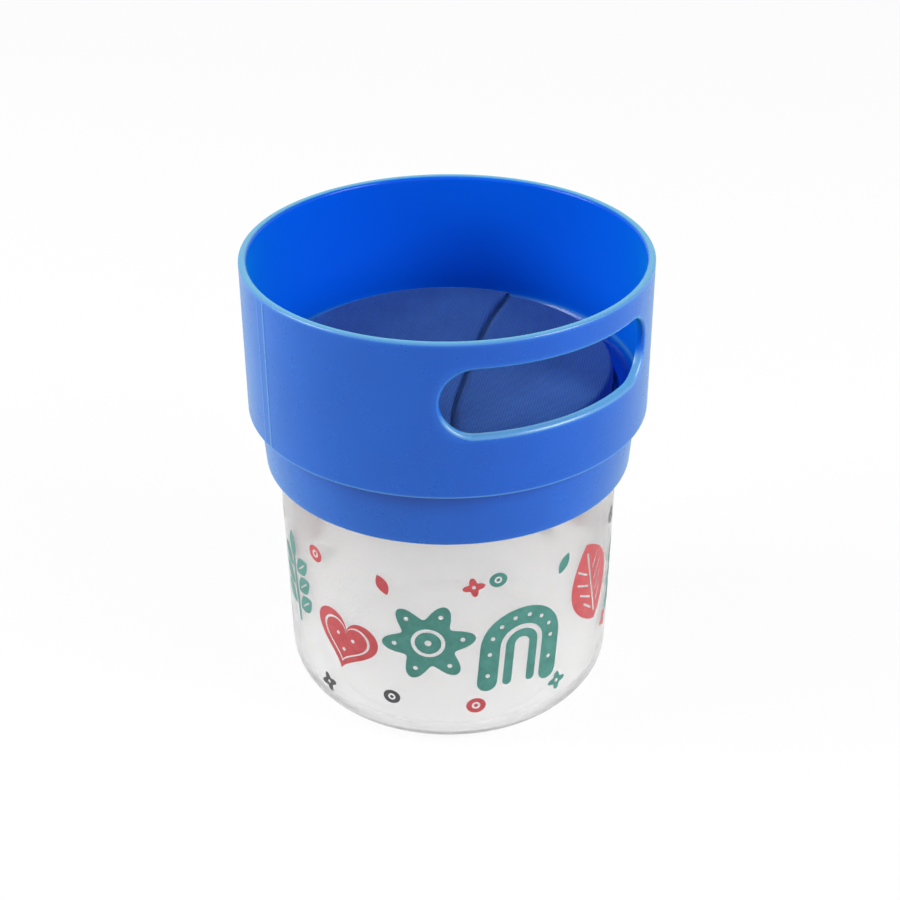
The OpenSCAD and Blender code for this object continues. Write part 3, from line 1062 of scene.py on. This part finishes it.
def filled(loops):
    """Triangles that fill the loops by the even-odd rule, fine enough to bend round the
    cup, as points in millimetres and faces."""
    vertices = [p for loop in loops for p in loop]
    edges, start = [], 0
    for loop in loops:
        edges += [(start + i, start + (i + 1) % len(loop)) for i in range(len(loop))]
        start += len(loop)
    outline = np.array(vertices)
    low, high = outline.min(axis=0), outline.max(axis=0)
    step = INK_GRID / MM
    grid = np.array([(x, y) for x in np.arange(low[0] + step / 2, high[0], step)
                     for y in np.arange(low[1] + step / 2, high[1], step)])
    if len(grid):
        # Grid points close to an outline would only make slivers
        gap = np.linalg.norm(grid[:, None, :] - outline[None, :, :], axis=2).min(axis=1)
        grid = grid[inside(grid, loops) & (gap > step * 0.4)]
    vertices = [Vector(p) for p in vertices] + [Vector(p) for p in grid]
    points, _, triangles, *_ = delaunay_2d_cdt(vertices, edges, [], 0, 1e-5)
    flat = np.array([tuple(p) for p in points])
    kept = inside(np.array([flat[list(t)].mean(axis=0) for t in triangles]), loops)
    return flat, [tuple(t) for t, keep in zip(triangles, kept) if keep]


def make_print(materials):
    """One thin film for each ink, wrapped round the cup's drafted side."""
    for name, material in materials.items():
        points, faces = [], []
        for kind, colour, azimuth, height, turn, size in PRINT:
            if colour != name:
                continue
            flat, triangles = filled([placed(loop, 0, 0, turn, size) for loop in kind()])
            start = len(points)
            used = sorted({i for t in triangles for i in t})
            order = {old: start + new for new, old in enumerate(used)}
            for i in used:
                z = (height + flat[i][1]) * MM
                radius = cup_side(z) + INK_LIFT
                along = math.radians(azimuth) + flat[i][0] * MM / radius
                points.append(on_round(radius, along, z))
            faces += [tuple(order[i] for i in t) for t in triangles]
        film = add_piece("print_" + name, points, faces, material, closed=False)
        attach(film, "cup")


# ---- camera, light and floor

def make_camera():
    """The photograph's view."""
    data = bpy.data.cameras.new("camera")
    data.sensor_width = SENSOR
    data.lens = LENS
    data.shift_x = SHIFT_X
    camera = bpy.data.objects.new("camera", data)
    camera.location = CAMERA_PLACE
    camera.rotation_mode = "QUATERNION"
    tilt = Matrix.Rotation(CAMERA_TILT, 4, "X")
    roll = Matrix.Rotation(CAMERA_ROLL, 4, "Z")
    camera.rotation_quaternion = (tilt @ roll).to_quaternion()
    bpy.context.scene.collection.objects.link(camera)
    bpy.context.scene.camera = camera


def softbox(name, azimuth, elevation, distance, width, height, power):
    """A rectangular lamp that faces the lid, in degrees and metres from it."""
    aim = Vector((0, 0, LEDGE_TOP))
    level = distance * math.cos(math.radians(elevation))
    place = aim + Vector(on_round(level, math.radians(azimuth),
                                  distance * math.sin(math.radians(elevation))))
    data = bpy.data.lights.new(name, "AREA")
    data.shape = "RECTANGLE"
    data.size, data.size_y = width, height
    data.energy = power
    lamp = bpy.data.objects.new(name, data)
    lamp.location = place
    lamp.rotation_mode = "QUATERNION"
    lamp.rotation_quaternion = (aim - place).to_track_quat("-Z", "Y")
    bpy.context.scene.collection.objects.link(lamp)


def ray_is(nodes, links, *kinds):
    """1 for rays of these kinds, and 0 for the rest."""
    path = nodes.new("ShaderNodeLightPath")
    total = path.outputs[kinds[0]]
    for kind in kinds[1:]:
        total = maths(nodes, links, "MAXIMUM", total, path.outputs[kind])
    return total


def mix_shaders(nodes, links, share, a, b):
    """Shader node a at share 0 and shader node b at share 1."""
    mix = nodes.new("ShaderNodeMixShader")
    links.new(share, mix.inputs["Fac"])
    links.new(a.outputs[0], mix.inputs[1])
    links.new(b.outputs[0], mix.inputs[2])
    return mix.outputs[0]


def make_world():
    """Even white light, which the camera and glass see as white, and gloss as white up to
    HORIZON_TOP and dim above it."""
    world = bpy.data.worlds.new("studio")
    bpy.context.scene.world = world
    world.use_nodes = True
    nodes, links = world.node_tree.nodes, world.node_tree.links
    light = nodes["Background"]
    white = nodes.new("ShaderNodeBackground")
    set_inputs(light, Color=WHITE, Strength=LIGHT_LEVEL)
    set_inputs(white, Color=WHITE)
    low = map_range(nodes, links, place_z(nodes, links, "Generated"),
                    HORIZON_TOP, HORIZON_TOP + HORIZON_FADE, 1, DIM_LEVEL)
    always = ray_is(nodes, links, "Is Camera Ray", "Is Transmission Ray")
    links.new(maths(nodes, links, "MAXIMUM", low, always), white.inputs["Strength"])
    links.new(mix_shaders(nodes, links, ray_is(nodes, links, *SEEN_RAYS), light, white),
              nodes["World Output"].inputs["Surface"])


def make_floor():
    """A pale floor that shows as white and keeps a soft shadow."""
    corners = [(x * FLOOR_HALF, y * FLOOR_HALF, 0)
               for x, y in ((-1, -1), (1, -1), (1, 1), (-1, 1))]
    material = bpy.data.materials.new("floor")
    material.use_nodes = True
    nodes, links = material.node_tree.nodes, material.node_tree.links
    nodes.remove(nodes["Principled BSDF"])
    seen = ray_is(nodes, links, *SEEN_RAYS)
    pale = nodes.new("ShaderNodeBsdfDiffuse")
    links.new(mix_colour(nodes, links, seen, FLOOR_GREY, WHITE[:3]), pale.inputs["Color"])
    white = nodes.new("ShaderNodeEmission")
    set_inputs(white, Color=WHITE, Strength=1)
    glow = map_range(nodes, links, seen, 0, 1, 0, FLOOR_GLOW)
    links.new(mix_shaders(nodes, links, glow, pale, white),
              nodes["Material Output"].inputs["Surface"])
    floor = add_piece("floor", corners, [(0, 1, 2, 3)], material, closed=False)


# ---- the scene

def finish_cad_node(name, material):
    """Gives a CAD node that stays its finish."""
    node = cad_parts[name]
    node.data.materials.clear()
    node.data.materials.append(material)


make_camera()
make_world()
make_floor()
for lamp in SOFTBOXES:
    softbox(*lamp)
bpy.context.scene.view_settings.view_transform = "Standard"

blue = blue_plastic()
navy = stretch_fabric()
finish_cad_node("lid_hoop", blue)
finish_cad_node("clamp_ring", blue)
make_collar(blue)
make_cup(frosted_plastic())
make_flap("upper_cloth", "upper_flap", -1, upper_height, navy)
make_flap("lower_cloth", "lower_flap", 1, lower_height, navy)
make_print({name: ink(name + "_ink", *tones) for name, tones in INKS.items()})
